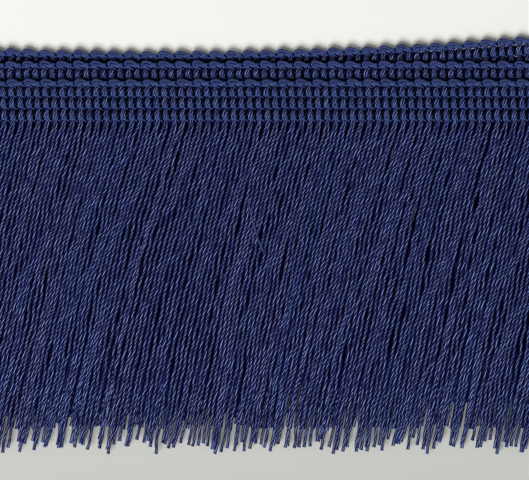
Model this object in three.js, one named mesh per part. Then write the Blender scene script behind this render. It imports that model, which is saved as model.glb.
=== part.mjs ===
// Cut fringe trim: a knitted heading with a skirt of cut cords hanging from it, one length laid flat
// in three layers, back and forth. Millimetres. +X runs along the trim, the cords hang towards -Y and
// +Z is up, away from the surface that the trim lies on.

import * as THREE from 'three';

// The trim itself
const course = 2.3;               // one knitted course along the heading, two cords wide
const scallopPitch = 2 * course;  // one loop of the heading's top edge
const scallopDepth = 0.9;
const headingHeight = 11.4;
const headingThickness = 2.2;
const seamGap = 0.3;              // clearance between the heading and the fringe below it
const fringeDrop = 87.8;          // mean length of the cords below the heading
const fringeThickness = 1.3;
const toothPitch = 2 * course;    // one tooth of the comb stands for four cords
const slotWidth = 0.5;
const raggedWaves = [             // how the cut edge varies from tooth to tooth
  { size: 1.0, step: 2.4 },
  { size: 0.6, step: 5.1 },
];

// How the length is laid: the lower layer starts at its cut end on the right, turns up at the left
// fold, and the middle layer turns up again at the right fold into the top layer
const layerGap = 0.5;
const leftFold = -82;
const rightFold = 104;
const lowerCutEnd = 96;
const topCutEnd = -76;
const foldEase = 12;              // length beside a fold over which two layers come to one line

// How far each layer lies behind the top one
const middleShift = 5.4;
const lowerShift = { least: 7.2, leastAt: -25.5, more: 4, moreBy: 97 };
const foldShift = { left: 6.5, right: 2.7 };

// The comb's stations: distance below the heading as a share of a tooth's length, how far the cords
// lean along -X there, and how far they have settled from the heading's level to their own
const stations = [
  { down: 0, lean: 0, settled: 0 },
  { down: 0.03, lean: 0.7, settled: 0.1 },
  { down: 0.18, lean: 4.6, settled: 0.9 },
  { down: 0.5, lean: 12.2, settled: 1 },
  { down: 1, lean: 20.5, settled: 1 },
];

// Slow waves along the trim by which the cords draw together and part
const leanWaves = [
  { share: 0.1, every: 120 },
  { share: 0.06, every: 46 },
];

const turnSteps = 6;              // facets round a fold
const leastColumnGap = 0.15;
const headingPitch = headingThickness + layerGap;
const fringePitch = fringeThickness + layerGap;
const turnRadius = headingPitch / 2;
const turnLength = Math.PI * turnRadius;

const { lerp, smoothstep } = THREE.MathUtils;

// Distances along the trim at which each run and turn starts
const lowerEndsAt = lowerCutEnd - leftFold;
const middleStartsAt = lowerEndsAt + turnLength;
const middleEndsAt = middleStartsAt + rightFold - leftFold;
const topStartsAt = middleEndsAt + turnLength;
const trimLength = topStartsAt + rightFold - topCutEnd;

// The middle line of the trim at a distance along it: x, the layer it is on (0 to 2, with the turns
// between) and the direction across the thickness
function routeAt(along) {
  if (along < lowerEndsAt) {
    return { x: lowerCutEnd - along, layer: 0, acrossX: 0, acrossZ: -1 };
  }
  if (along < middleStartsAt) {
    const angle = (along - lowerEndsAt) / turnRadius;
    const x = leftFold - turnRadius * Math.sin(angle);
    return { x, layer: (1 - Math.cos(angle)) / 2, acrossX: -Math.sin(angle), acrossZ: -Math.cos(angle) };
  }
  if (along < middleEndsAt) {
    return { x: leftFold + along - middleStartsAt, layer: 1, acrossX: 0, acrossZ: 1 };
  }
  if (along < topStartsAt) {
    const angle = (along - middleEndsAt) / turnRadius;
    const x = rightFold + turnRadius * Math.sin(angle);
    return { x, layer: 1 + (1 - Math.cos(angle)) / 2, acrossX: -Math.sin(angle), acrossZ: Math.cos(angle) };
  }
  return { x: rightFold - along + topStartsAt, layer: 2, acrossX: 0, acrossZ: -1 };
}

// How far back the trim lies at a point of its route
function shiftAt({ x, layer }) {
  const nearLeft = layer > 1 ? 0 : 1 - smoothstep(x, leftFold, leftFold + foldEase);
  const nearRight = layer < 1 ? 0 : smoothstep(x, rightFold - foldEase, rightFold);
  const lower = lowerShift.least + lowerShift.more * ((x - lowerShift.leastAt) / lowerShift.moreBy) ** 2;
  let shift = middleShift;
  if (layer < 0.5) shift = lower;
  if (layer > 1.5) shift = 0;
  shift = lerp(shift, foldShift.left, nearLeft);
  return lerp(shift, foldShift.right, nearRight);
}

function leanShareAt(x) {
  return leanWaves.reduce((sum, { share, every }) => sum + share * Math.sin((2 * Math.PI * x) / every), 1);
}

function toothLength(tooth) {
  return raggedWaves.reduce((sum, { size, step }) => sum + size * Math.sin(step * tooth), fringeDrop);
}

// Builds one closed sheet from a grid: columns run along the trim and rows run down from its top
// edge. A cell is solid where isSolid says so, and place gives the point of each face (side 1 or -1).
function sheetGeometry(columnCount, rowCount, isSolid, place) {
  const positions = [];
  const indices = [];
  const known = new Map();
  const vertex = (column, row, side) => {
    const key = `${column} ${row} ${side}`;
    if (!known.has(key)) {
      known.set(key, positions.length / 3);
      positions.push(...place(column, row, side));
    }
    return known.get(key);
  };
  const quad = (a, b, c, d) => indices.push(a, b, c, a, c, d);
  const solidAt = (column, row) =>
    column >= 0 && column < columnCount - 1 && row >= 0 && row < rowCount - 1 && isSolid(column, row);

  for (let column = 0; column < columnCount - 1; column++) {
    for (let row = 0; row < rowCount - 1; row++) {
      if (!solidAt(column, row)) continue;
      const corners = [[column, row], [column, row + 1], [column + 1, row + 1], [column + 1, row]];
      const neighbours = [[column - 1, row], [column, row + 1], [column + 1, row], [column, row - 1]];
      const front = corners.map((corner) => vertex(...corner, 1));
      const back = corners.map((corner) => vertex(...corner, -1));
      quad(...front);
      quad(...back.toReversed());
      neighbours.forEach((neighbour, side) => {
        const next = (side + 1) % 4;
        if (!solidAt(...neighbour)) quad(front[side], back[side], back[next], front[next]);
      });
    }
  }

  const geometry = new THREE.BufferGeometry();
  geometry.setAttribute('position', new THREE.Float32BufferAttribute(positions, 3));
  geometry.setIndex(indices);
  geometry.computeVertexNormals();
  return geometry;
}

// Places along the trim where the grid has a column: the given ones, and more round the folds
function columnsWithTurns(places) {
  const turns = [lowerEndsAt, middleEndsAt].flatMap((start) =>
    Array.from({ length: turnSteps + 1 }, (_, step) => start + (turnLength * step) / turnSteps));
  const inTurn = (along) => turns.some((turn) => Math.abs(turn - along) < leastColumnGap);
  return [...places.filter((along) => !inTurn(along)), ...turns].sort((a, b) => a - b);
}

function buildHeading() {
  const loopShares = [0, 0.2, 0.5, 0.8];
  const places = [];
  for (let start = 0; start < trimLength; start += scallopPitch) {
    places.push(...loopShares.map((share) => start + share * scallopPitch));
  }
  const columns = columnsWithTurns([...places.filter((along) => along < trimLength), trimLength]);
  const place = (column, row, side) => {
    const along = columns[column];
    const route = routeAt(along);
    const loop = Math.sin((Math.PI * (along % scallopPitch)) / scallopPitch);
    const down = row === 0 ? scallopDepth * (1 - Math.sqrt(Math.max(loop, 0))) : headingHeight;
    const half = (side * headingThickness) / 2;
    return [
      route.x + half * route.acrossX,
      shiftAt(route) - down,
      headingThickness / 2 + headingPitch * route.layer + half * route.acrossZ,
    ];
  };
  return sheetGeometry(columns.length, 2, () => true, place);
}

function buildFringe() {
  const toothCount = Math.round(trimLength / toothPitch);
  const pitch = trimLength / toothCount;
  const places = [];
  for (let tooth = 0; tooth < toothCount; tooth++) {
    places.push(tooth * pitch + slotWidth / 2, (tooth + 1) * pitch - slotWidth / 2);
  }
  const columns = columnsWithTurns(places);
  const isSolid = (column, row) => {
    const middle = (columns[column] + columns[column + 1]) / 2;
    const fromSlot = Math.abs(middle - pitch * Math.round(middle / pitch));
    return row === 0 || fromSlot > slotWidth / 2;
  };
  const place = (column, row, side) => {
    const along = columns[column];
    const route = routeAt(along);
    const station = stations[row];
    const length = toothLength(Math.floor(along / pitch));
    const headingLevel = headingThickness / 2 + headingPitch * route.layer;
    const fringeLevel = fringeThickness / 2 + fringePitch * route.layer;
    const half = (side * fringeThickness) / 2;
    return [
      route.x + half * route.acrossX - station.lean * leanShareAt(route.x),
      shiftAt(route) - headingHeight - seamGap - station.down * length,
      lerp(headingLevel, fringeLevel, station.settled) + half * route.acrossZ,
    ];
  };
  return sheetGeometry(columns.length, stations.length, isSolid, place);
}

const navyHeading = new THREE.MeshStandardMaterial({ color: '#242c52', roughness: 0.6, metalness: 0 });
const navyCord = new THREE.MeshStandardMaterial({ color: '#24294c', roughness: 0.55, metalness: 0 });

const heading = new THREE.Mesh(buildHeading(), navyHeading);
heading.name = 'heading';

const fringe = new THREE.Mesh(buildFringe(), navyCord);
fringe.name = 'fringe';

// The origin is under the middle of the trim, on the surface that it lies on
const trim = new THREE.Group();
trim.add(heading, fringe);
const box = new THREE.Box3().setFromObject(trim);
const middle = box.getCenter(new THREE.Vector3());
trim.position.set(-middle.x, -middle.y, -box.min.z);

export default trim;
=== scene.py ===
import math

import bpy
import numpy as np
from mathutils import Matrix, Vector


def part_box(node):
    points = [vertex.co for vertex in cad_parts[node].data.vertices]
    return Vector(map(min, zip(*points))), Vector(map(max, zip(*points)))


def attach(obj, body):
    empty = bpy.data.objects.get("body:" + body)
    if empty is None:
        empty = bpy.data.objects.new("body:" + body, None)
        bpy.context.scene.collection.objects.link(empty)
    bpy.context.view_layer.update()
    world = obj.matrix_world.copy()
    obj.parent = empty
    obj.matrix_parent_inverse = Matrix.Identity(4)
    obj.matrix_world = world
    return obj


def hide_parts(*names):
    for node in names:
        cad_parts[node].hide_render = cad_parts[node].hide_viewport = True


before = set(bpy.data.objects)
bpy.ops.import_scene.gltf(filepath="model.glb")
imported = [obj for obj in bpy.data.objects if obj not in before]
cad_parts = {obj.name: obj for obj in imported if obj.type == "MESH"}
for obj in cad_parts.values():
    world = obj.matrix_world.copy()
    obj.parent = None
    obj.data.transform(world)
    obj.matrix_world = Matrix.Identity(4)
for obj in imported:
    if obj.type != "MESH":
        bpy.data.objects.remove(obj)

# Sizes are in millimetres until a mesh is made. Along runs down the length of the trim, down runs from
# the heading's top edge to the cut ends, and rise is the height on the seen side of a layer's middle.
metre = 0.001
rng = np.random.default_rng(41)
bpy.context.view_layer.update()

# The knitted trim
trim = {
    "course": 2.3,                    # one knitted course, with two cords side by side
    "rows": (1.6, 4.3, 7.45, 10.7),   # the chain rows, down from the tips of the scallops
    "headingHeight": 11.4,
    "headingSkew": 0.068,             # the heading's courses lean to the left at the top
    "drop": 87.8,                     # mean length of the cords below the heading
    "leanTotal": 20.5,                # how far to the left their ends lie
    "leanEasing": 0.22,               # how much more than that they lean at first, and less by their ends
    "leanFrom": (-1.0, 2.5),          # the lean begins over this span below the heading
}

# How the length is laid: from its cut end in the lower layer it runs to the left fold, back in the
# middle layer to the right fold, and on to its other cut end in the top layer
lay = {
    "leftFold": -82.0,
    "rightFold": 104.0,
    "foldReach": 106.45,              # x of the right fold's outside
    "lowerCutEnd": 96.0,
    "topCutEnd": -76.0,
    "foldEase": 12.0,                 # two layers come to one line over this length beside a fold
    "middleShift": 5.0,               # how far each layer lies behind the top one
    "lowerShift": 7.6,
    "lowerBow": 4.0,
    "lowerBowAt": -25.5,
    "lowerBowReach": 97.0,
    "leftFoldShift": 6.5,
    "rightFoldShift": 2.7,
    "headingFirst": 0.9,              # height of the lower layer's middle, and from layer to layer
    "headingPitch": 1.8,
    "fringeFirst": 0.65,
    "fringePitch": 1.3,
    "lowerCurl": 1.1,                 # how far the lower layer's top edge stands up
    "upperCurl": -0.1,                # and the others' edges, which bend down
    "curlFrom": -0.4,
    "curlReach": 3.2,
    "settleOver": 9.0,                # the cords come down to their own level over about this length
    "settlePower": 1.5,
}

turnRadius = lay["headingPitch"] / 2
turnLength = math.pi * turnRadius
lowerEnd = lay["lowerCutEnd"] - lay["leftFold"]
middleStart = lowerEnd + turnLength
middleEnd = middleStart + lay["rightFold"] - lay["leftFold"]
topStart = middleEnd + turnLength
trimLength = topStart + lay["rightFold"] - lay["topCutEnd"]


def ease(value, start, end):
    share = np.clip((value - start) / (end - start), 0, 1)
    return share * share * (3 - 2 * share)


def routeAt(along):
    # x, the layer from 0 to 2, and the knitted face's direction in x and z
    leftTurn = np.clip((along - lowerEnd) / turnRadius, 0, math.pi)
    rightTurn = np.clip((along - middleEnd) / turnRadius, 0, math.pi)
    goingLeft = np.maximum(lay["lowerCutEnd"] - along, lay["leftFold"]) - turnRadius * np.sin(leftTurn)
    goingRight = np.minimum(lay["leftFold"] + along - middleStart, lay["rightFold"])
    goingRight = goingRight + turnRadius * np.sin(rightTurn)
    x = np.where(along < middleStart, goingLeft, goingRight)
    x = np.where(along > topStart, lay["rightFold"] + topStart - along, x)
    layer = (2 - np.cos(leftTurn) - np.cos(rightTurn)) / 2
    return x, layer, np.sin(leftTurn) + np.sin(rightTurn), np.cos(leftTurn - rightTurn)


def shiftAt(x, layer):
    bow = ((x - lay["lowerBowAt"]) / lay["lowerBowReach"]) ** 2
    shift = np.where(layer < 0.5, lay["lowerShift"] + lay["lowerBow"] * bow, lay["middleShift"])
    shift = np.where(layer > 1.5, 0.0, shift)
    nearLeft = np.where(layer > 1, 0.0, 1 - ease(x, lay["leftFold"], lay["leftFold"] + lay["foldEase"]))
    nearRight = np.where(layer < 1, 0.0, ease(x, lay["rightFold"] - lay["foldEase"], lay["rightFold"]))
    shift = shift + (lay["leftFoldShift"] - shift) * nearLeft
    return shift + (lay["rightFoldShift"] - shift) * nearRight


def seenSide(along):
    # 1 where the knitted face is up or outside, -1 where the back is
    return np.where((along > lowerEnd) & (along < middleEnd), -1.0, 1.0)


def placeAt(along, down, rise, seen):
    x, layer, faceX, faceZ = routeAt(along)
    below = np.maximum(down - trim["headingHeight"], 0)
    settled = 1 - np.exp(-((below / lay["settleOver"]) ** lay["settlePower"]))
    curl = np.where(layer < 0.5, lay["lowerCurl"], lay["upperCurl"])
    curl = curl * (1 - ease(down, lay["curlFrom"], lay["curlReach"]))
    headingLevel = lay["headingFirst"] + lay["headingPitch"] * layer + curl
    fringeLevel = lay["fringeFirst"] + lay["fringePitch"] * layer
    level = headingLevel + (fringeLevel - headingLevel) * settled
    skew = trim["headingSkew"] * (np.minimum(down, trim["headingHeight"]) - trim["headingHeight"])
    z = level + rise * seen * faceZ
    place = np.stack([x + skew + rise * seen * faceX, shiftAt(x, layer) - down, z], axis=-1)
    outward = np.stack([seen * faceX + 0 * z, 0 * z, seen * faceZ + 0 * z], axis=-1)
    return place, outward


# The trim's own origin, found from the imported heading: its right fold and the top layer's lower edge
origin = np.array([
    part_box("heading")[1].x / metre - lay["foldReach"],
    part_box("heading")[0].y / metre + trim["headingHeight"],
    0.0,
])
print("trim laid out:", round(trimLength), "mm long")


# A straight-down view with a long lens, as flat as a scan
view = {"width": 143.1, "middle": (0.0, -43.5), "lens": 300.0, "sensor": 36.0, "level": 5.0}


def makeCamera():
    camera = bpy.data.cameras.new("camera")
    camera.lens = view["lens"]
    camera.sensor_width = view["sensor"]
    camera.clip_end = 10
    holder = bpy.data.objects.new("camera", camera)
    height = view["width"] * view["lens"] / view["sensor"] + view["level"]
    holder.location = (origin + [*view["middle"], height]) * metre
    bpy.context.scene.collection.objects.link(holder)
    bpy.context.scene.camera = holder


makeCamera()
print("camera placed")


# Yarns are closed tubes. Each point keeps three attributes for the materials:
# yarn is the cosine and sine of its place around the yarn and its millimetres along it,
# lie is how far the yarn has turned there, how much painted shade its flanks get, and how much painted shade
# it gets for lying under or among other yarns, strand is the yarn's own random number, a painted highlight
# that grows near its cut end or along a chain stitch's legs, and how plain its colour.
def tubes(line, outward, radius, section, turn=0.0, flatness=1.0):
    count, steps = line.shape[:2]
    tangent = np.gradient(line, axis=1)
    tangent /= np.linalg.norm(tangent, axis=2, keepdims=True)
    out = outward - (outward * tangent).sum(2, keepdims=True) * tangent
    out /= np.linalg.norm(out, axis=2, keepdims=True)
    side = np.cross(tangent, out)
    angle = np.radians([corner[0] for corner in section])
    share = np.array([corner[1] for corner in section])
    spin = (turn + np.zeros((count, steps)))[:, :, None] + angle
    reach = (radius + np.zeros((count, steps)))[:, :, None] * share
    points = (line[:, :, None, :]
              + (reach * flatness * np.cos(spin))[..., None] * out[:, :, None, :]
              + (reach * np.sin(spin))[..., None] * side[:, :, None, :])
    corners = len(section)
    index = np.arange(count * steps * corners).reshape(count, steps, corners)
    here, there = index[:, :-1], index[:, 1:]
    walls = np.stack([here, np.roll(here, -1, 2), np.roll(there, -1, 2), there], axis=-1).reshape(-1, 4)
    caps = np.concatenate([index[:, 0, ::-1], index[:, -1]])
    stretch = np.linalg.norm(np.diff(line, axis=1), axis=2)
    length = np.concatenate([np.zeros((count, 1)), np.cumsum(stretch, axis=1)], axis=1)
    yarn = np.empty((count, steps, corners, 3))
    yarn[..., 0] = np.cos(angle)
    yarn[..., 1] = np.sin(angle)
    yarn[..., 2] = length[:, :, None]
    lie = np.zeros((count, steps, corners, 3))
    lie[..., 0] = (turn + np.zeros((count, steps)))[:, :, None]
    lie[..., 1] = 1.0
    strand = np.zeros((count, steps, corners, 3))
    strand[..., 0] = rng.uniform(0, 1, (count, 1, 1))
    return {"points": points, "walls": walls, "caps": caps, "yarn": yarn, "lie": lie, "strand": strand}


def makeMesh(name, parts, material):
    faces, start = [], 0
    for part in parts:
        faces += (part["walls"] + start).tolist() + (part["caps"] + start).tolist()
        start += part["points"].size // 3
    points = np.concatenate([part["points"].reshape(-1, 3) for part in parts])
    mesh = bpy.data.meshes.new(name)
    mesh.from_pydata((points + origin) * metre, [], faces)
    for key in ("yarn", "lie", "strand"):
        values = np.concatenate([part[key].ravel() for part in parts])
        mesh.attributes.new(key, "FLOAT_VECTOR", "POINT").data.foreach_set("vector", values)
    mesh.shade_smooth()
    mesh.materials.append(material)
    piece = bpy.data.objects.new(name, mesh)
    bpy.context.scene.collection.objects.link(piece)
    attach(piece, "root")
    print(name, "made with", sum(len(face) - 2 for face in faces), "triangles")
    return piece


# Section of a yarn: the angle of each corner in degrees and its share of the radius
fiveStrand = tuple((36 * corner, 1.0 if corner % 2 == 0 else 0.8) for corner in range(10))
roundCord = tuple((60 * corner + 30, 0.93) for corner in range(6))
flatYarn = tuple((60 * corner + 30, 1.0) for corner in range(6))


# Materials: dyed rayon yarn, with a painted highlight along its crests, painted shade down its sides and
# under other yarns, and nearly black painted shade where the plies meet
def addNode(tree, kind, inputs=None, **settings):
    node = tree.nodes.new(kind)
    for name, value in settings.items():
        setattr(node, name, value)
    for name, value in (inputs or {}).items():
        if isinstance(value, bpy.types.NodeSocket):
            tree.links.new(value, node.inputs[name])
        else:
            node.inputs[name].default_value = value
    return node


def makeGroup(name, inputs, outputs):
    tree = bpy.data.node_groups.new(name, "ShaderNodeTree")
    for socket, kind in inputs.items():
        tree.interface.new_socket(name=socket, in_out="INPUT", socket_type="NodeSocket" + kind)
    for socket, kind in outputs.items():
        tree.interface.new_socket(name=socket, in_out="OUTPUT", socket_type="NodeSocket" + kind)
    return tree, tree.nodes.new("NodeGroupInput").outputs, tree.nodes.new("NodeGroupOutput").inputs


def mapValue(tree, value, fromMin, fromMax, toMin, toMax, curve="LINEAR"):
    return addNode(tree, "ShaderNodeMapRange", {
        "Value": value, "From Min": fromMin, "From Max": fromMax, "To Min": toMin, "To Max": toMax,
    }, interpolation_type=curve).outputs["Result"]


# Noises in the yarn. The seeds spread the strands' own numbers over a noise.
fibres = {
    "stretch": (2.2, 2.2, 0.2),       # the fibres' streaks run along the yarn
    "detail": 3.0,
    "roughness": 0.6,
    "seed": 83.0,
    "lotSeed": 61.0,
    "lotDetail": 2.0,
    "hueSeed": 7.31,
    "noise": (0.3, 0.7),              # the parts of the noises' range that are used
    "narrowNoise": (0.37, 0.63),
    "bumpHeight": 0.0001,
    "glossTint": (0.45, 0.6, 1.0, 1),
}


def makePlyGrain():
    # Crest is 1 on top of a ply and 0 in the groove beside it; Depth is 0 along the top of the yarn, 0.5 at
    # its sides and 1 underneath, scaled by the lie's flanks and raised by its painted shade, and places the
    # painted highlight and shade; and Fibre is a fine streak along the ply
    tree, given, result = makeGroup(
        "plyGrain",
        {"Yarn": "Vector", "Lie": "Vector", "Strand": "Float", "Plies": "Float", "Groove": "Float",
         "Streaks": "Float"},
        {"Crest": "Float", "Depth": "Float", "Fibre": "Float"})
    parts = addNode(tree, "ShaderNodeSeparateXYZ", {"Vector": given["Yarn"]}).outputs
    turn, flanks, paintedShade = addNode(tree, "ShaderNodeSeparateXYZ", {"Vector": given["Lie"]}).outputs
    angle = addNode(tree, "ShaderNodeMath", {0: parts["Y"], 1: parts["X"]}, operation="ARCTAN2").outputs[0]
    phase = addNode(tree, "ShaderNodeMath", {0: angle, 1: given["Plies"]}, operation="MULTIPLY").outputs[0]
    across = addNode(tree, "ShaderNodeMath", {0: phase}, operation="COSINE").outputs[0]
    crest = mapValue(tree, across, given["Groove"], 1.0, 0.0, 1.0, "SMOOTHSTEP")
    tree.links.new(crest, result["Crest"])
    spin = addNode(tree, "ShaderNodeMath", {0: angle, 1: turn}, operation="ADD").outputs[0]
    facing = addNode(tree, "ShaderNodeMath", {0: spin}, operation="COSINE").outputs[0]
    below = mapValue(tree, facing, -1.0, 1.0, 1.0, 0.0)
    depth = addNode(tree, "ShaderNodeMath", {0: below, 1: flanks, 2: paintedShade},
                    operation="MULTIPLY_ADD").outputs[0]
    tree.links.new(depth, result["Depth"])
    stretched = addNode(tree, "ShaderNodeVectorMath", {0: given["Yarn"], 1: fibres["stretch"]},
                        operation="MULTIPLY").outputs[0]
    seed = addNode(tree, "ShaderNodeMath", {0: given["Strand"], 1: fibres["seed"]},
                   operation="MULTIPLY").outputs[0]
    fibre = addNode(tree, "ShaderNodeTexNoise", {
        "Vector": stretched, "W": seed, "Scale": given["Streaks"],
        "Detail": fibres["detail"], "Roughness": fibres["roughness"],
    }, noise_dimensions="4D").outputs["Fac"]
    tree.links.new(fibre, result["Fibre"])
    return tree


def makeDyeLot():
    # Slow change of shade from strand to strand and along each one
    tree, given, result = makeGroup(
        "dyeLot",
        {"Yarn": "Vector", "Strand": "Float", "Spacing": "Float"},
        {"Tone": "Float", "Hue": "Float"})
    along = addNode(tree, "ShaderNodeSeparateXYZ", {"Vector": given["Yarn"]}).outputs["Z"]
    slow = addNode(tree, "ShaderNodeMath", {0: along, 1: given["Spacing"]}, operation="DIVIDE").outputs[0]
    lot = addNode(tree, "ShaderNodeMath", {0: given["Strand"], 1: fibres["lotSeed"]},
                  operation="MULTIPLY").outputs[0]
    spot = addNode(tree, "ShaderNodeCombineXYZ", {"X": slow, "Y": lot}).outputs[0]
    noise = addNode(tree, "ShaderNodeTexNoise", {
        "Vector": spot, "Scale": 1.0, "Detail": fibres["lotDetail"],
    }).outputs
    tree.links.new(noise["Fac"], result["Tone"])
    hue = addNode(tree, "ShaderNodeMath", {0: lot, 1: fibres["hueSeed"]}, operation="MULTIPLY").outputs[0]
    tree.links.new(addNode(tree, "ShaderNodeMath", {0: hue}, operation="FRACT").outputs[0], result["Hue"])
    return tree


plyGrain = makePlyGrain()
dyeLot = makeDyeLot()

yarnDyeAndPaintedLight = {
    "deep": (0.0004, 0.0002, 0.005, 1),     # painted shade where the plies meet, down the yarns' sides and deep between the yarns
    "body": (0.022, 0.021, 0.158, 1),       # the yarns' flanks
    "plain": (0.043, 0.066, 0.21, 1),       # a cord pulled flat over a scallop
    "paintedHighlightBlue": (0.04, 0.09, 0.31, 1),       # painted highlight on the open filaments of a cut end, and on the chain stitches' legs
}


def mixColour(tree, factor, first, second):
    node = addNode(tree, "ShaderNodeMix", data_type="RGBA")
    for socket, value in ((node.inputs[0], factor), (node.inputs[6], first), (node.inputs[7], second)):
        if isinstance(value, bpy.types.NodeSocket):
            tree.links.new(value, socket)
        else:
            socket.default_value = value
    return node.outputs[2]


def makeYarnMaterial(name, looks):
    material = bpy.data.materials.new(name)
    material.use_nodes = True
    tree = material.node_tree
    shader = tree.nodes["Principled BSDF"]
    yarn = addNode(tree, "ShaderNodeAttribute", attribute_name="yarn").outputs["Vector"]
    lie = addNode(tree, "ShaderNodeAttribute", attribute_name="lie").outputs["Vector"]
    own = addNode(tree, "ShaderNodeAttribute", attribute_name="strand").outputs["Vector"]
    strand, cut, plain = addNode(tree, "ShaderNodeSeparateXYZ", {"Vector": own}).outputs
    grain = addNode(tree, "ShaderNodeGroup", node_tree=plyGrain)
    lot = addNode(tree, "ShaderNodeGroup", node_tree=dyeLot)
    for group in (grain, lot):
        tree.links.new(yarn, group.inputs["Yarn"])
        tree.links.new(strand, group.inputs["Strand"])
    tree.links.new(lie, grain.inputs["Lie"])
    depth = grain.outputs["Depth"]
    grain.inputs["Plies"].default_value = looks["plies"]
    grain.inputs["Groove"].default_value = looks["groove"]
    grain.inputs["Streaks"].default_value = looks["streaks"]
    lot.inputs["Spacing"].default_value = looks["lotSpacing"]
    # The colour of the painted highlight, in one of two hues
    paintedHighlightColour = mixColour(tree, lot.outputs["Hue"], looks["bluer"], looks["duller"])
    tone = mapValue(tree, lot.outputs["Tone"], *fibres["noise"], looks["darkest"], looks["lightest"])
    fibre = mapValue(tree, grain.outputs["Fibre"], *fibres["narrowNoise"],
                     1 - looks["fibreShade"], 1 + looks["fibreShade"])
    level = addNode(tree, "ShaderNodeMath", {0: tone, 1: fibre}, operation="MULTIPLY").outputs[0]
    # Painted shade: near black down the yarn's sides, under other yarns and in the grooves between the plies
    body = mapValue(tree, depth, looks["deepest"], looks["bodyDepth"], 0.0, 1.0, "SMOOTHSTEP")
    plyGrooveShade = mapValue(tree, grain.outputs["Crest"], 0.0, 1.0, looks["plyGrooveShade"], 1.0)
    body = addNode(tree, "ShaderNodeMath", {0: body, 1: plyGrooveShade}, operation="MULTIPLY").outputs[0]
    # Painted highlight along the top of each ply, brighter or dimmer with the fibres
    top = mapValue(tree, depth, looks["streakEdge"], 0.0, 0.0, 1.0, "SMOOTHSTEP")
    crest = mapValue(tree, grain.outputs["Crest"], 0.0, 1.0, looks["grooveLevel"], 1.0)
    paintedHighlight = addNode(tree, "ShaderNodeMath", {0: top, 1: crest}, operation="MULTIPLY").outputs[0]
    paintedHighlight = addNode(tree, "ShaderNodeMath", {0: paintedHighlight, 1: level}, operation="MULTIPLY").outputs[0]
    colour = mixColour(tree, body, yarnDyeAndPaintedLight["deep"], yarnDyeAndPaintedLight["body"])
    colour = mixColour(tree, paintedHighlight, colour, paintedHighlightColour)
    # A cord pulled flat keeps its plain colour on top, with painted shade in its grooves and down its sides
    ridge = mapValue(tree, grain.outputs["Crest"], 0.0, 1.0, looks["plainGroove"], 1.0)
    upper = mapValue(tree, depth, looks["plainEdge"], looks["plainFull"], 0.0, 1.0)
    ridge = addNode(tree, "ShaderNodeMath", {0: ridge, 1: upper}, operation="MULTIPLY").outputs[0]
    pulled = mixColour(tree, ridge, yarnDyeAndPaintedLight["deep"], yarnDyeAndPaintedLight["plain"])
    colour = mixColour(tree, plain, colour, pulled)
    # Painted highlight at the open cut ends and on the chain stitches' legs
    colour = mixColour(tree, cut, colour, yarnDyeAndPaintedLight["paintedHighlightBlue"])
    tree.links.new(colour, shader.inputs["Base Color"])
    roughness = mapValue(tree, grain.outputs["Fibre"], *fibres["noise"], looks["smooth"], looks["rough"])
    tree.links.new(roughness, shader.inputs["Roughness"])
    bump = addNode(tree, "ShaderNodeBump", {
        "Height": grain.outputs["Fibre"], "Strength": looks["fibreBump"], "Distance": fibres["bumpHeight"],
    })
    tree.links.new(bump.outputs["Normal"], shader.inputs["Normal"])
    shader.inputs["Specular IOR Level"].default_value = looks["gloss"]
    shader.inputs["Specular Tint"].default_value = fibres["glossTint"]
    return material


# Groove is the cosine at which a ply ends, and the edges and depths say how far down a yarn's side each
# colour reaches: the painted highlight on top, then the body colour, then the painted shade below
cordMaterial = makeYarnMaterial("navyCord", {
    "bluer": (0.27, 0.43, 0.88, 1), "duller": (0.38, 0.45, 0.8, 1),
    "plies": 5, "groove": 0.4, "grooveLevel": 0.0, "plainGroove": 0.6, "plyGrooveShade": 0.3,
    "deepest": 0.5, "bodyDepth": 0.04, "streakEdge": 0.12, "plainEdge": 0.5, "plainFull": 0.1,
    "lotSpacing": 26.0, "darkest": 0.75, "lightest": 1.15,
    "streaks": 1.6, "fibreShade": 0.95, "fibreBump": 0.35, "smooth": 0.34, "rough": 0.5, "gloss": 0.08,
})
chainMaterial = makeYarnMaterial("navyChain", {
    "bluer": (0.038, 0.066, 0.21, 1), "duller": (0.043, 0.062, 0.186, 1),
    "plies": 1, "groove": -1.0, "grooveLevel": 1.0, "plainGroove": 1.0, "plyGrooveShade": 1.0,
    "deepest": 0.6, "bodyDepth": 0.0, "streakEdge": 0.8, "plainEdge": 0.5, "plainFull": 0.1,
    "lotSpacing": 9.0, "darkest": 0.9, "lightest": 1.05,
    "streaks": 2.6, "fibreShade": 0.12, "fibreBump": 0.25, "smooth": 0.4, "rough": 0.55, "gloss": 0.09,
})
print("yarn materials made")


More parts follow.
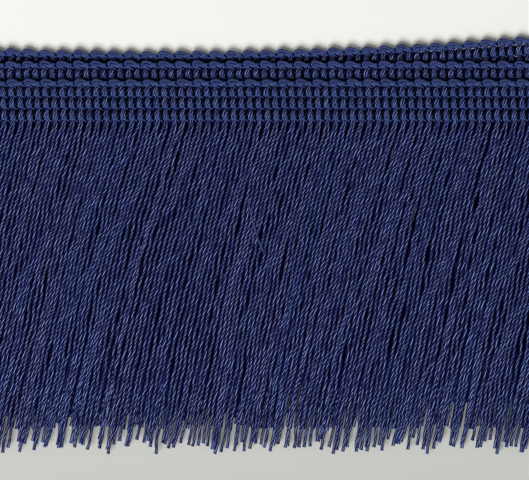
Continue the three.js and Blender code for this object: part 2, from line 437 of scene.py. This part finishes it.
# The cords: each scallop is an outer and an inner cord, looped over the top edge and cut at both ends
cord = {
    "radius": 0.58,
    "headingRadius": 0.45,
    "fullSpan": (0.5, 4.0),           # they fill out to their radius over this span below the heading
    "sizeSpread": 0.035,
    # In the heading
    "pairSpacing": 0.66,              # between the two cords of a course, between the chain rows
    "pinch": 0.4,                     # and under a chain row
    "rightLow": 0.16,                 # how much lower the right cord of a pair lies
    "bulge": 0.42,                    # rise between the chain rows
    "press": -0.34,                   # and under a chain row
    "beadLow": 1.4,                   # above 1 the cords bulge nearer the chain row below them
    "beadLean": 0.42,                 # how far they slant to the left on their way down a bead
    "leanSpan": (0.08, 0.92),
    "beadLight": 0.45,                # how much less painted shade their flanks get there
    "beadPlain": 0.05,                # how plain their colour is
    "beadShade": 0.06,                # how much painted shade they get just below a chain row, which shades them
    "shadeSpan": (0.1, 0.75),
    "lastRow": 3.3,                   # the heading's lower edge, counted in rows
    # Over the scallop
    "arcSpacing": 0.95,               # between the two cords of a course
    "arcSteps": 9,
    "outerTip": 0.2,                  # how far below the scallop's tip the outer cord's middle passes
    "innerTip": 0.9,
    "tipJog": 0.08,
    "peak": 0.85,
    "apexLeft": 1.0,                  # how far left of its middle a scallop is highest
    "arcRise": 0.15,
    # how much less painted shade the flanks get over the scallop, and how plain the colour is there
    "arcLight": 0.7,
    "arcPlain": 0.92,
    "arcReach": 1.2,                  # length that counts as over the scallop, against the cord's offset
    "arcSpan": (0.8, 1.1),
    "headingEase": 0.5,               # the heading's looks change to the fringe's over this length, each way
    # Twist
    "twistPitch": 7.4,
    "pitchSpread": 0.08,
    "turnSpread": 0.35,
    "twistWander": 0.3,
    "twistWaves": ((1.0, 11.0), (1.0, 6.0)),
    "slacken": 0.12,                  # how much slower they twist in their lower half
    "slackenSpan": (0.3, 0.9),
    "loosen": 0.4,                    # how much twist is lost by the cut end
    "loosenOver": 6.0,
    # Below the heading; waves are rows of size and length, and each cord stretches their lengths its own way
    "waveSpread": (0.75, 1.3),
    "spreadOver": 4.6,                # they spread evenly over this length
    "jog": 0.17,                      # unevenness of their spacing
    "closest": 1.04,                  # nearest that neighbours lie, where the lengthwise wander allows
    "pushes": 12,
    "pushShare": 0.45,
    "drift": 0.27,                    # sideways wander of one cord
    "driftWaves": ((0.3, 47.0), (0.45, 21.0), (0.65, 8.0)),
    "flow": 0.045,                    # and of neighbouring cords together, in a sum of sways
    "sways": 12,
    "swaySize": (0.6, 1.4),
    "swayAcross": (0.26, 0.75),       # how fast a sway changes across the fringe, and down it
    "swayDown": (0.08, 0.24),
    "spread": 0.42,                   # how far cords stray by their cut ends
    "clump": 0.5,                     # how far small groups of cords stray together
    "clumpMost": 4,
    "strayPower": 5.2,                # the higher, the nearer the ends they part
    "float": 0.26,                    # wander in height
    "floatWaves": ((0.8, 40.0), (0.6, 14.0)),
    "floatJog": 0.14,
    "fadeOver": 18.0,                 # the wander in height and the flow grow over this length
    "clearance": 0.02,                # between the lowest cords and the surface
    # At the cut ends
    "dropLimit": 2.2,                 # the most that a length differs, against its spread
    "sag": 1.3,                       # how far a free end of the top layer sinks
    "sagLeast": 0.3,
    "sagOver": 6.0,
    "endSlim": 0.26,                  # how much slimmer a cord is near its cut end
    "slimSpan": (1.0, 14.0),
    "endOpen": 0.2,                   # and how much the cut plies spread again
    "openSpan": (0.2, 1.4),
    "cutReach": 0.5,
    # Under other layers, in shares of a cord's drop from where its covered stretch begins and ends, where it
    # swells, stops twisting and gets painted shade
    "swellIn": 0.05,
    "swellOut": 0.12,
    "restIn": (-0.03, 0.0),
    "restOut": (0.1, 0.13),
    "paintedShadeIn": (-0.04, 0.0),           # the span of the painted shade, these two from the heading
    "paintedShadeOut": (0.8, 0.96),
    # Lengthwise steps
    "stepHeading": 0.46,
    "stepHidden": 8.0,
}

# Where the cords of the top layer lean more or less than elsewhere
drifts = (
    {"x": -6.5, "down": 50.0, "wide": 12.0, "tall": 34.0, "more": -0.18},
    {"x": -28.0, "down": 27.0, "wide": 11.0, "tall": 25.0, "more": 0.12},
    {"x": -39.0, "down": 12.0, "wide": 9.0, "tall": 14.0, "more": 0.12},
    {"x": -69.0, "down": 36.0, "wide": 11.0, "tall": 14.0, "more": -0.18},
    {"x": -50.0, "down": 55.0, "wide": 9.0, "tall": 14.0, "more": -0.12},
    {"x": -70.0, "down": 66.0, "wide": 9.0, "tall": 12.0, "more": 0.12},
    {"x": 46.0, "down": 38.0, "wide": 10.0, "tall": 14.0, "more": -0.15},
    {"x": 45.0, "down": 8.0, "wide": 14.0, "tall": 16.0, "more": 0.12},
    {"x": 16.0, "down": 84.0, "wide": 6.0, "tall": 8.0, "more": -0.18},
    {"x": -22.0, "down": 84.0, "wide": 9.0, "tall": 10.0, "more": -0.12},
)


def leanSlope(x, below, drifting):
    share = below / trim["drop"]
    easing = trim["leanEasing"]
    slope = trim["leanTotal"] / trim["drop"] * (1 + easing - 2 * easing * share)
    more = np.zeros_like(x)
    for drift in drifts if drifting else ():
        across = (x - drift["x"]) / drift["wide"]
        down = (below - drift["down"]) / drift["tall"]
        more += drift["more"] * np.exp(-across * across - down * down)
    return slope * (1 + more) * ease(below, *trim["leanFrom"])


# Narrow slits between the cords, in all layers: how far up and down each one reaches from its middle
partings = (
    {"x": 41.0, "down": 35.5, "reach": 4.0, "open": 0.85},
    {"x": 35.4, "down": 58.3, "reach": 5.0, "open": 1.15},
    {"x": 34.3, "down": 21.5, "reach": 5.0, "open": 1.25},
    {"x": 5.6, "down": 49.1, "reach": 4.3, "open": 1.3},
    {"x": 38.4, "down": 47.8, "reach": 4.5, "open": 1.0},
    {"x": 34.0, "down": 71.6, "reach": 3.5, "open": 1.1},
    {"x": 57.8, "down": 33.4, "reach": 3.0, "open": 1.3},
    {"x": -58.5, "down": 75.4, "reach": 3.5, "open": 1.2},
    {"x": 54.6, "down": 58.6, "reach": 2.6, "open": 1.2},
    {"x": -69.3, "down": 83.2, "reach": 2.4, "open": 1.0},
)
partingLean = 0.31
partingSpan = 2.6                     # how far to each side the cords are moved


def partingPush(place, opening):
    x, down = place[..., 0], -place[..., 1]
    push = np.zeros_like(x)
    for parting in partings:
        below = down - parting["down"]
        aside = x - parting["x"] + partingLean * below
        nearest = np.argmin(np.abs(below), axis=1)[:, None]
        side = np.sign(np.take_along_axis(aside, nearest, axis=1))
        near = np.clip(1 - np.abs(aside) / partingSpan, 0, 1) * np.exp(-(below / parting["reach"]) ** 2)
        push += opening * parting["open"] / 2 * side * near
    return push


def waves(count, length, periods):
    # Smooth random wander of each strand along its length
    wander = 0.0
    for size, period in periods:
        own = period * rng.uniform(*cord["waveSpread"], (count, 1))
        wander = wander + size * np.sin(2 * math.pi * (length / own + rng.uniform(0, 1, (count, 1))))
    return wander


sways = []
for _ in range(cord["sways"]):
    sways.append({
        "size": rng.uniform(*cord["swaySize"]),
        "across": rng.choice((-1, 1)) * rng.uniform(*cord["swayAcross"]),
        "down": rng.uniform(*cord["swayDown"]),
        "start": rng.uniform(0, 2 * math.pi),
    })


def flowAt(x, down):
    flow = 0
    for sway in sways:
        flow = flow + sway["size"] * np.sin(sway["across"] * x + sway["down"] * down + sway["start"])
    return cord["flow"] * flow


def keepApart(aside, direction):
    # Cords side by side push each other away where they would lie on one another
    pitch = trim["course"] / 2
    for _ in range(cord["pushes"]):
        gap = pitch + direction * (aside[1:] - aside[:-1])
        push = cord["pushShare"] * np.clip(cord["closest"] - gap, 0, None) * direction
        aside[1:] += push
        aside[:-1] -= push
    return aside


def clumps(count):
    # One value for each small group of neighbouring strands
    sizes = rng.integers(1, cord["clumpMost"] + 1, count)
    groups = np.repeat(np.arange(count), sizes)[:count]
    return rng.normal(0, 1, count)[groups]


def legBelow(step, hiddenFrom, hiddenTo):
    # Stations below the heading as shares of a cord's drop: close together where the cord is seen
    seen, hidden = step / trim["drop"], cord["stepHidden"] / trim["drop"]
    stations = [0.0]
    while stations[-1] < 1 - seen / 2:
        here = stations[-1]
        stations.append(here + (hidden if hiddenFrom < here < hiddenTo else seen))
    return np.array(stations[1:-1] + [1.0])


# Each scallop has an outer and an inner cord. Offsets are from its middle, and the legs are ranked from left
# to right among the scallop's four.
loops = (
    {"outwards": 1, "tip": cord["outerTip"], "ranks": {-1: 0, 1: 3},
     "offset": (trim["course"] + cord["pairSpacing"]) / 2, "freeOffset": 0.75 * trim["course"]},
    {"outwards": -1, "tip": cord["innerTip"], "ranks": {-1: 1, 1: 2},
     "offset": (trim["course"] - cord["pairSpacing"]) / 2, "freeOffset": 0.25 * trim["course"]},
)


def legHabits(count, below, tier, direction):
    # How each of a tier's legs strays, wanders, floats and sinks, and how long it is
    run = below * trim["drop"]
    stray = tier["wander"] * (rng.normal(0, cord["spread"], count) + cord["clump"] * clumps(count))
    wander = tier["wander"] * cord["drift"] * waves(count, run, cord["driftWaves"])
    wander = keepApart(wander + rng.normal(0, cord["jog"], (count, 1)), direction)
    lift = cord["float"] * waves(count, run, cord["floatWaves"]) + rng.normal(0, cord["floatJog"], (count, 1))
    uneven = tier["unevenness"]
    limit = cord["dropLimit"] * uneven
    drop = trim["drop"] + np.clip(rng.normal(0, uneven, count), -limit, limit)
    sinking = rng.uniform(cord["sagLeast"], 1.0, count) * tier["sag"]
    return {"stray": stray[:, None], "wander": wander, "lift": lift, "drop": drop[:, None],
            "sinking": sinking[:, None]}


def legPlaces(scallops, below, leg, sign, loop, tier):
    # One leg of each scallop, from the heading's lower edge to its cut end
    seen = seenSide(scallops)[:, None]
    span = leg["drop"] * below
    gather = ease(span, 0, cord["spreadOver"])
    fade = ease(span, 0, cord["fadeOver"])
    offset = loop["offset"] + (loop["freeOffset"] - loop["offset"]) * gather
    along = scallops[:, None] + sign * offset
    nearEnd = np.maximum(span - leg["drop"] + cord["sagOver"], 0) / cord["sagOver"]
    rise = leg["lift"] * fade - leg["sinking"] * nearEnd ** 2 * seen
    place, outward = placeAt(along, span + trim["headingHeight"], rise, seen)
    place[..., 0] += leg["wander"] * gather + leg["stray"] * below ** cord["strayPower"]
    place[..., 0] += tier["wander"] * flowAt(place[..., 0], span) * fade
    # The lean is carried on from station to station, because it changes from place to place
    shift = np.zeros(len(scallops))
    depth = -place[..., 1] - trim["headingHeight"]
    strides = np.diff(span, axis=1, prepend=0)
    for step in range(len(below)):
        slope = leanSlope(place[:, step, 0] + shift, depth[:, step], tier["drifting"])
        shift -= slope * strides[:, step]
        place[:, step, 0] += shift
    place[..., 0] += partingPush(place, tier["opening"])
    place[..., 2] = np.maximum(place[..., 2], cord["radius"] + cord["clearance"])
    return place, outward


def headingPlaces(scallops, inHeading, toRow, sign, loop):
    # One pass of each cord through the heading: it bulges between the chain rows and slants as it goes
    seen = seenSide(scallops)[:, None]
    hump = np.sin(math.pi * toRow ** cord["beadLow"])
    rise = cord["press"] + (cord["bulge"] - cord["press"]) * hump
    spacing = cord["pinch"] + (cord["pairSpacing"] - cord["pinch"]) * hump
    slant = cord["beadLean"] * (0.5 - ease(toRow, *cord["leanSpan"])) * (inHeading < trim["rows"][-1])
    along = scallops[:, None] + sign * (trim["course"] + loop["outwards"] * spacing) / 2
    along = along - seen * slant
    isRight = (1 - sign * seen * loop["outwards"]) / 2
    down = np.tile(inHeading, (len(scallops), 1))
    return placeAt(along, down, rise - cord["rightLow"] * isRight, seen)


def arcPlaces(scallops, arc, loop):
    # The cord's arc over the heading's top edge
    seen = seenSide(scallops)[:, None]
    firstRow = trim["rows"][0]
    reach = (trim["course"] + loop["outwards"] * cord["arcSpacing"]) / 2
    along = scallops[:, None] - reach * np.cos(arc) + seen * cord["apexLeft"] * np.sin(arc)
    tall = firstRow - loop["tip"] + rng.normal(0, cord["tipJog"], (len(scallops), 1))
    down = firstRow - tall * np.sin(arc) ** cord["peak"]
    return placeAt(along, down, cord["arcRise"] * np.sin(np.tile(arc, (len(scallops), 1))), seen)


def cordRadius(toMiddle, toEnd, share, headingLength, tier):
    # Slim in the heading, thicker where a lower layer has to fill the gaps above it, slim near the cut end
    full = ease(toMiddle, *(headingLength + reach for reach in cord["fullSpan"]))
    size = tier["fullness"] * rng.normal(1, cord["sizeSpread"], (len(share), 1))
    radius = size * (cord["headingRadius"] + (cord["radius"] - cord["headingRadius"]) * full)
    inside = ease(share, tier["hiddenFrom"], tier["hiddenFrom"] + cord["swellIn"])
    inside = inside * (1 - ease(share, tier["swellTo"] - cord["swellOut"], tier["swellTo"]))
    radius = radius * (1 + tier["swell"] * inside)
    slim = cord["endSlim"] * (1 - ease(toEnd, *cord["slimSpan"]))
    return radius * (1 - slim + cord["endOpen"] * (1 - ease(toEnd, *cord["openSpan"])))


def cordTurn(stretch, length, middle, toEnd, share, underTop, tier):
    # The twist of each cord in radians, counted from its middle
    rate = 1 - cord["loosen"] * (1 - ease(toEnd, 0, cord["loosenOver"]))
    rate = rate - cord["slacken"] * ease(share, *cord["slackenSpan"])
    # Beyond the top layer's cut end nothing lies over the coarse stretch, so the twist rests there
    atRest = ease(share, *(tier["hiddenFrom"] + reach for reach in cord["restIn"]))
    atRest = atRest * (1 - ease(share, *(tier["hiddenTo"] + reach for reach in cord["restOut"])))
    rate = rate * (1 - atRest * (1 - underTop))
    turn = np.cumsum(rate * stretch, axis=1)
    turn -= turn[:, middle:middle + 1]
    pitch = cord["twistPitch"] * rng.normal(1, cord["pitchSpread"], (len(turn), 1))
    turn = rng.normal(0, cord["turnSpread"], (len(turn), 1)) + 2 * math.pi * turn / pitch
    return turn + cord["twistWander"] * waves(len(turn), length, cord["twistWaves"])


def cordTubes(scallops, tier):
    # scallops are the along places of their middles
    count = len(scallops)
    rows = trim["rows"]
    below = legBelow(tier["step"], tier["hiddenFrom"], tier["hiddenTo"])
    inHeading = np.arange(trim["headingHeight"], rows[0], -cord["stepHeading"])
    arc = np.linspace(0, math.pi, cord["arcSteps"])
    legCount = len(below)
    middle = legCount + len(inHeading) + len(arc) // 2
    toRow = np.interp(inHeading, (*rows, trim["headingHeight"]), (*range(len(rows)), cord["lastRow"])) % 1
    inShade = cord["beadShade"] * (1 - ease(toRow, *cord["shadeSpan"])) * (inHeading < rows[-1])
    noShade = np.zeros(legCount)
    shade = np.concatenate([noShade, inShade, np.zeros(len(arc)), inShade[::-1], noShade])
    underTop = ease(routeAt(scallops)[0], lay["topCutEnd"] - 1, lay["topCutEnd"] + 1)[:, None]
    habits = legHabits(4 * count, below, tier, -seenSide(scallops[0]))
    made = []
    for loop in loops:
        legs, headings = [], []
        for sign in (-1, 1):
            rank = 4 * np.arange(count) + loop["ranks"][sign]
            leg = {key: values[rank] for key, values in habits.items()}
            legs.append(legPlaces(scallops, below, leg, sign, loop, tier))
            headings.append(headingPlaces(scallops, inHeading, toRow, sign, loop))
        over = arcPlaces(scallops, arc, loop)
        # Up one leg and through the heading, over the top edge and down again, as places and as outwards
        line, outward = [np.concatenate([
            legs[0][kind][:, ::-1], headings[0][kind], over[kind], headings[1][kind][:, ::-1], legs[1][kind],
        ], axis=1) for kind in (0, 1)]
        stretch = np.linalg.norm(np.diff(line, axis=1, prepend=line[:, :1]), axis=2)
        length = np.cumsum(stretch, axis=1)
        toMiddle = np.abs(length - length[:, middle:middle + 1])
        toEnd = np.minimum(length, length[:, -1:] - length)
        headingLength = toMiddle[:, legCount:legCount + 1]
        share = (toMiddle - headingLength) / trim["drop"]
        radius = cordRadius(toMiddle, toEnd, share, headingLength, tier)
        turn = cordTurn(stretch, length, middle, toEnd, share, underTop, tier)
        part = tubes(line, outward, radius, tier["section"], turn)
        # How each place lies and looks: flanks with less painted shade and a plainer colour in the heading,
        # more painted shade under other layers
        arcReach = loop["offset"] * cord["arcReach"]
        overArc = 1 - ease(toMiddle, *(arcReach * reach for reach in cord["arcSpan"]))
        inBeads = 1 - ease(toMiddle, headingLength - cord["headingEase"], headingLength + cord["headingEase"])
        openness = cord["beadLight"] * inBeads + (cord["arcLight"] - cord["beadLight"]) * overArc
        plain = cord["beadPlain"] * inBeads + (cord["arcPlain"] - cord["beadPlain"]) * overArc
        covered = ease(share, *cord["paintedShadeIn"]) * (1 - ease(share, *cord["paintedShadeOut"])) * underTop
        # The cut ends get a painted highlight, stronger on the more open ones
        openCut = rng.uniform(0, 1, (count, 1, 1)) ** 3
        part["lie"][..., 1] = (1 - openness)[..., None]
        part["lie"][..., 2] = (tier["paintedShade"] * covered + shade)[..., None]
        part["strand"][..., 1] = (1 - ease(toEnd, 0, cord["cutReach"]))[..., None] * openCut
        part["strand"][..., 2] = plain[..., None]
        made.append(part)
    return made


scallopPitch = 2 * trim["course"]
scallops = np.arange(scallopPitch / 2, trimLength - scallopPitch / 2, scallopPitch)
layerOf = routeAt(scallops)[1]
topScallops = scallops[layerOf > 1.5]
half = len(topScallops) // 2

# What differs between the tiers of cords. Hidden, swell and the painted shade are where a tier is covered by
# the next one:
# how far it is built coarsely, thickened and given painted shade, in shares of a cord's drop.
lowerTier = {
    "section": roundCord, "step": 0.62, "hiddenFrom": 0.04, "hiddenTo": 0.8,
    "fullness": 1.08, "swell": 0.4, "swellTo": 1.1, "paintedShade": 0.3,
    "unevenness": 0.6, "wander": 0.3, "sag": 0.0, "opening": 1.2, "drifting": False,
}
middleTier = {
    "section": roundCord, "step": 0.6, "hiddenFrom": 0.05, "hiddenTo": 0.72,
    "fullness": 1.04, "swell": 0.25, "swellTo": 1.0, "paintedShade": 0.25,
    "unevenness": 0.5, "wander": 0.4, "sag": 0.4, "opening": 1.1, "drifting": False,
}
topTier = {
    "section": fiveStrand, "step": 0.85, "hiddenFrom": 2.0, "hiddenTo": 2.0,
    "fullness": 1.0, "swell": 0.0, "swellTo": 1.0, "paintedShade": 0.0,
    "unevenness": 1.0, "wander": 1.0, "sag": cord["sag"], "opening": 0.7, "drifting": True,
}

# One thin smooth strand has strayed across the others: its x, way down and rise
stray = {
    "way": ((-4.7, 31.0, -0.6), (-4.4, 32.8, 0.45), (-3.9, 35.6, 0.75), (-3.1, 38.8, 0.8),
            (-2.4, 41.3, 0.75), (-1.5, 43.9, 0.55), (-0.6, 46.1, 0.3), (-0.1, 47.4, -0.6)),
    "radius": 0.33,
    "level": 3.25,
    "plain": 0.75,
}


def strayStrand():
    way = np.array(stray["way"])
    line = (way * (1, -1, 1) + (0, 0, stray["level"]))[None]
    part = tubes(line, np.zeros_like(line) + (0, 0, 1), stray["radius"], roundCord)
    part["strand"][..., 2] = stray["plain"]
    return part


for name, chosen, tier in (
    ("cordsLower", scallops[layerOf < 0.5], lowerTier),
    ("cordsMiddle", scallops[(layerOf >= 0.5) & (layerOf <= 1.5)], middleTier),
    ("cordsTopRight", topScallops[:half // 2], topTier),
    ("cordsTopRightInner", topScallops[half // 2:half], topTier),
    ("cordsTopLeftInner", topScallops[half:half + half // 2], topTier),
    ("cordsTopLeft", topScallops[half + half // 2:], topTier),
):
    extra = [strayStrand()] if name == "cordsTopLeftInner" else []
    piece = makeMesh(name, cordTubes(chosen, tier) + extra, cordMaterial)
    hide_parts("fringe")


# The knitted chains: each stitch is a wide wedge over one course's cords, and its two legs part at its
# right end around a small hole. A row of the way is x, y, rise and half width.
chain = {
    "upper": ((-0.8, 0.08, 0.08, 0.26), (-0.7, 0.09, 0.32, 0.3), (-0.1, 0.13, 0.38, 0.32),
              (0.42, 0.24, 0.4, 0.35), (0.6, 0.5, 0.38, 0.2), (0.76, 0.7, 0.3, 0.15),
              (0.92, 0.9, 0.1, 0.14), (1.02, 1.02, -0.35, 0.13)),
    "lower": ((-0.8, -0.08, 0.08, 0.25), (-0.7, -0.08, 0.32, 0.27), (-0.1, -0.08, 0.38, 0.26),
              (0.42, -0.1, 0.4, 0.26), (0.66, -0.3, 0.38, 0.17), (0.95, -0.44, 0.34, 0.145),
              (1.22, -0.66, 0.12, 0.14), (1.34, -0.8, -0.3, 0.13)),
    # The legs get a painted highlight, the lower leg more, as its side faces the lamp
    "legHighlight": {"upper": 0.3, "lower": 0.55},
    "legSpan": (0.5, 0.9),            # from the wedge to its legs
    "covered": (0, 2, 3, 5, 7),       # the points kept where a tier in front covers the row
    "wholeRows": 2,                   # the rows that no tier covers
    "flatness": 0.55,
    "flanks": 0.7,                    # how much painted shade the wedges' edges get
    "knob": 0.4,                      # how far up the knobs of the first row stand
    "knobTall": 0.35,
    "knobTop": 0.36,
    "jitter": 0.035,
    "deepFrom": 0.0,                  # rise below which a yarn gets painted shade, standing in for the shade of its neighbours
    "deepOver": 0.7,
}

# Yarns along the back of the heading, all coloured as full painted shade: one behind each row, and wide flat
# liners that close the back between the rows, dark sheets that stand in for the shade in the gaps there
back = {
    "rise": -0.7,
    "radius": 0.22,
    "start": 0.2,
    "stride": 0.62,                   # in courses
    "wobble": 0.06,
    "linerRise": -0.95,
    "linerFlatness": 0.3,
    "shadeLiners": (
        {"down": 2.6, "radius": 1.1, "start": 53.0},
        {"down": 2.75, "radius": 0.82, "start": 0.2},
        {"down": 4.1, "radius": 0.95, "start": 0.2},
        {"down": 1.2, "radius": 0.5, "start": 0.2},
        {"down": 5.9, "radius": 1.0, "start": 0.2},
        {"down": 9.1, "radius": 0.9, "start": 0.2},
        {"down": 0.3, "radius": 0.5, "start": lowerEnd + 4},
    ),
}


def chainRow(courses, row, points, knob=0.0):
    # The right stitch of each scallop stands up beside it as a knob
    seen = seenSide(courses)[:, None]
    isOdd = (courses[:, None] // trim["course"]) % 2
    isKnob = np.where(seen > 0, 1 - isOdd, isOdd) * (knob > 0)
    parts = []
    for leg in ("upper", "lower"):
        way = np.array(chain[leg])[points]
        jitter = rng.normal(0, chain["jitter"], (len(courses), 1, 3))
        along = courses[:, None] - seen * (way[:, 0] + jitter[..., 0])
        aside = np.where(isKnob > 0, np.clip(way[:, 1], -1, chain["knobTop"]), way[:, 1])
        down = row - aside - knob * isKnob + jitter[..., 1]
        rise = way[:, 2] + jitter[..., 2] + 0 * along
        line, outward = placeAt(along, down, rise, seen)
        radius = way[:, 3] * (1 + chain["knobTall"] * isKnob) + 0 * along
        part = tubes(line, outward, radius, flatYarn, flatness=chain["flatness"])
        part["strand"][..., 1] = chain["legHighlight"][leg] * ease(way[:, 0], *chain["legSpan"])[:, None]
        part["lie"][..., 1] = chain["flanks"]
        part["lie"][..., 2] = np.clip((chain["deepFrom"] - rise) / chain["deepOver"], 0, 1)[..., None]
        parts.append(part)
    return parts


def backYarn(down, rise, radius, start, flatness=1.0):
    along = np.arange(start, trimLength, trim["course"] * back["stride"])[None, :]
    rise = rise + back["wobble"] * (-1) ** np.arange(along.shape[1])
    line, outward = placeAt(along, down + 0 * along, rise, seenSide(along))
    part = tubes(line, outward, radius, flatYarn, flatness=flatness)
    # Coloured as full painted shade
    part["lie"][..., 2] = 1.0
    return part


def makeChains(name):
    courses = np.arange(trim["course"] / 2, trimLength - trim["course"] / 2, trim["course"])
    isTop = routeAt(courses)[1] > 1.5
    parts = []
    for number, row in enumerate(trim["rows"]):
        if number < chain["wholeRows"]:
            parts += chainRow(courses, row, slice(None), chain["knob"] if number == 0 else 0.0)
        else:
            parts += chainRow(courses[isTop], row, slice(None))
            parts += chainRow(courses[~isTop], row, list(chain["covered"]))
        parts.append(backYarn(row, back["rise"], back["radius"], back["start"]))
    return makeMesh(name, parts, chainMaterial)


def makeShadeLiners(name):
    parts = []
    for liner in back["shadeLiners"]:
        parts.append(backYarn(liner["down"], back["linerRise"], liner["radius"], liner["start"],
                              back["linerFlatness"]))
    return makeMesh(name, parts, chainMaterial)


chains = makeChains("headingChains")
shadeLinerPiece = makeShadeLiners("headingShadeLiners")
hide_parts("heading")
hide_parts("heading")


# The pale surface it lies on, a little darker towards the cut ends by painted shade
floorLook = {
    "reach": 1.5,
    "top": (0.92, 0.92, 0.872, 1),
    "bottom": (0.485, 0.49, 0.465, 1),
    "topAt": 0.05,
    "bottomAt": -0.075,
    "roughness": 0.9,
    "gloss": 0.1,
}


def makeFloor():
    mesh = bpy.data.meshes.new("floor")
    reach = floorLook["reach"]
    corners = [(-reach, -reach, 0), (reach, -reach, 0), (reach, reach, 0), (-reach, reach, 0)]
    mesh.from_pydata(corners, [], [(0, 1, 2, 3)])
    material = bpy.data.materials.new("paleFloor")
    material.use_nodes = True
    tree = material.node_tree
    shader = tree.nodes["Principled BSDF"]
    place = addNode(tree, "ShaderNodeTexCoord").outputs["Object"]
    y = addNode(tree, "ShaderNodeSeparateXYZ", {"Vector": place}).outputs["Y"]
    share = mapValue(tree, y, floorLook["bottomAt"], floorLook["topAt"], 0.0, 1.0)
    tree.links.new(mixColour(tree, share, floorLook["bottom"], floorLook["top"]), shader.inputs["Base Color"])
    shader.inputs["Roughness"].default_value = floorLook["roughness"]
    shader.inputs["Specular IOR Level"].default_value = floorLook["gloss"]
    mesh.materials.append(material)
    floor = bpy.data.objects.new("floor", mesh)
    bpy.context.scene.collection.objects.link(floor)


# One soft lamp low at the lower left, and an even room
lights = {"room": 0.25, "power": 10.95, "from": (-0.24, -0.5, 0.85), "size": 0.62}


def makeLights():
    world = bpy.data.worlds.new("softRoom")
    bpy.context.scene.world = world
    world.use_nodes = True
    world.node_tree.nodes["Background"].inputs["Color"].default_value = (1, 1, 1, 1)
    world.node_tree.nodes["Background"].inputs["Strength"].default_value = lights["room"]
    lamp = bpy.data.lights.new("key", "AREA")
    lamp.size = lights["size"]
    lamp.energy = lights["power"]
    holder = bpy.data.objects.new("key", lamp)
    x, y, z = lights["from"]
    holder.location = lights["from"]
    holder.rotation_euler = (math.atan2(math.hypot(x, y), z), 0, math.atan2(x, -y))
    bpy.context.scene.collection.objects.link(holder)


makeFloor()
makeLights()
bpy.context.scene.view_settings.view_transform = "Standard"
print("floor and lights placed")
